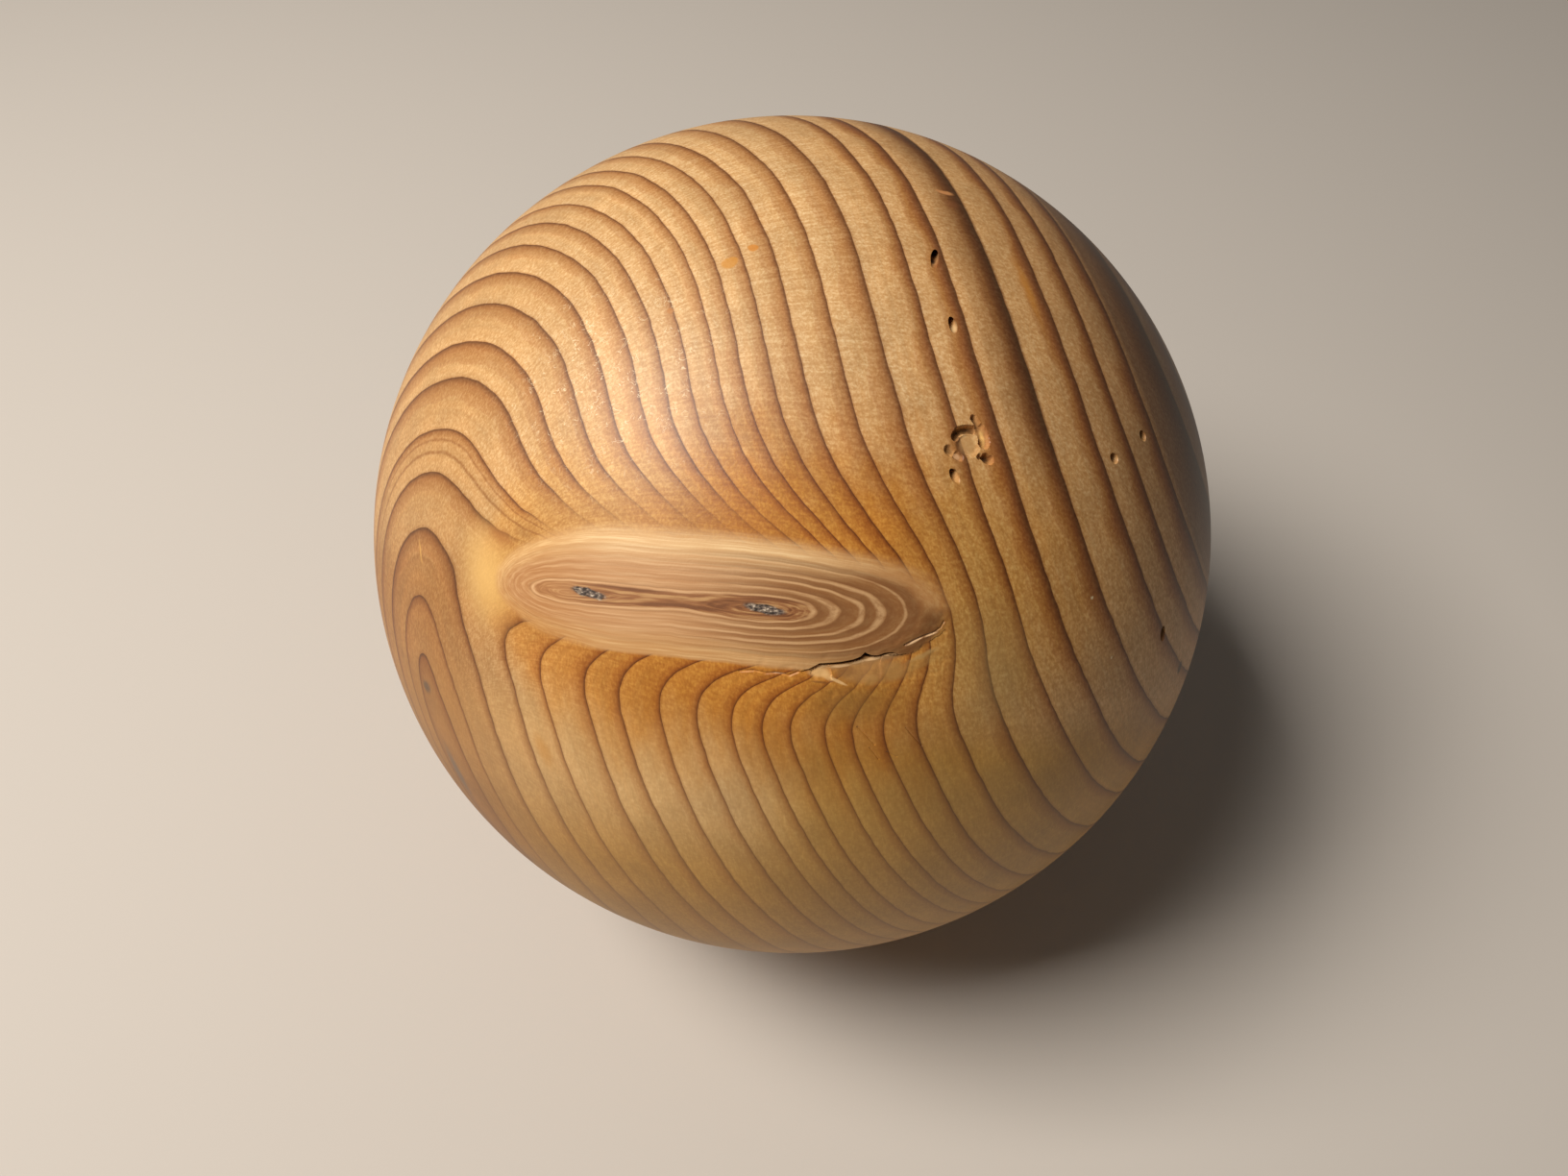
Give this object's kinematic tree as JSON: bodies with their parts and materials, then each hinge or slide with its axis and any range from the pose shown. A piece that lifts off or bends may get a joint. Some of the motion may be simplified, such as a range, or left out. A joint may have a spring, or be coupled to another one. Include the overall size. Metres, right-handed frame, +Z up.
{
  "type": "wooden ball",
  "caption": "Solid turned softwood ball with a large knot, insect bores and a drying crack, for handling, display or as a weight.",
  "frame": {"origin": "middle of the ball", "axes": "+Z up; the middle of the face with the knot leans 38 degrees from +Z towards -Y, and +X is that face's right"},
  "size_m": [0.1, 0.1, 0.1],
  "materials": {
    "wood": "sanded and waxed softwood, satin"
  },
  "bodies": {
    "root": {"ball": "wood"}
  },
  "joints": []
}
